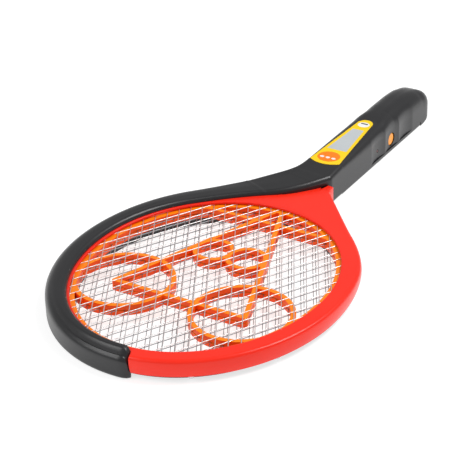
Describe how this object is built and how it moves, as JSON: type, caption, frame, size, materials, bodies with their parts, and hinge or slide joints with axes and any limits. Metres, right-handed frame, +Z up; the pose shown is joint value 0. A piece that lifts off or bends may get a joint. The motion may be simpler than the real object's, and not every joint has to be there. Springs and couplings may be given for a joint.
{
  "type": "electric fly swatter",
  "caption": "Racket-shaped electric fly swatter: oval mesh head in a red frame, held by a curved black arm in one with the battery handle and its side button.",
  "frame": {"origin": "on the flat underside of the handle, on the handle's axis", "axes": "+X from the head to the handle's end, +Y to the side of the black arm, +Z up from the resting face"},
  "size_m": [0.529, 0.2425, 0.0355],
  "materials": {
    "black_plastic": "satin moulded",
    "red_plastic": "gloss moulded",
    "orange_plastic": "gloss moulded",
    "mesh_wire": "bright drawn wire",
    "label_print": "printed and laminated",
    "button_plastic": "gloss moulded",
    "spring_steel": "nickel plated",
    "screw_steel": "zinc plated",
    "battery_wrap": "printed sleeve",
    "board": "paper laminate",
    "ferrite": "sintered",
    "bobbin_plastic": "moulded",
    "copper_wire": "enamelled",
    "capacitor_shell": "dipped",
    "black_component": "moulded",
    "resistor_body": "coated",
    "switch_body": "moulded",
    "lamp_lens": "clear tinted",
    "lead_red": "extruded",
    "lead_black": "extruded"
  },
  "bodies": {
    "swatter": {"upper_shell": "black_plastic", "lower_shell": "black_plastic", "label_plate": "label_print", "frame_upper": "red_plastic", "frame_lower": "black_plastic", "spacer_upper": "orange_plastic", "spacer_lower": "orange_plastic", "mesh_upper": "mesh_wire", "mesh_lower": "mesh_wire", "grid_inner": "mesh_wire", "push_switch": "switch_body", "button_spring": "spring_steel", "battery_1": "battery_wrap", "battery_2": "battery_wrap", "contact_positive": "spring_steel", "contact_negative": "spring_steel", "contact_link": "spring_steel", "circuit_board": "board", "transformer_core": "ferrite", "transformer_bobbin": "bobbin_plastic", "transformer_winding": "copper_wire", "hv_capacitor": "capacitor_shell", "transistor": "black_component", "rectifier_diodes": "black_component", "resistors": "resistor_body", "indicator_led": "lamp_lens", "lead_mesh_upper": "lead_red", "lead_mesh_lower": "lead_red", "lead_grid": "lead_black", "lead_battery_positive": "lead_red", "lead_battery_negative": "lead_black", "housing_screws": "screw_steel", "frame_screws": "screw_steel", "board_screws": "screw_steel"},
    "door": {"battery_door": "black_plastic"},
    "trigger": {"trigger_button": "button_plastic", "switch_plunger": "switch_body"}
  },
  "joints": [
    {"name": "trigger_press", "type": "slide", "parent": "swatter", "child": "trigger", "axis": [0, 1, 0], "range_m": [0, 0.0015], "stiffness_N_per_m": 600, "springref_m": -0.001, "deforming": ["button_spring"]},
    {"name": "battery_door_slide", "type": "slide", "parent": "swatter", "child": "door", "axis": [1, 0, 0], "range_m": [0, 0.085]}
  ]
}
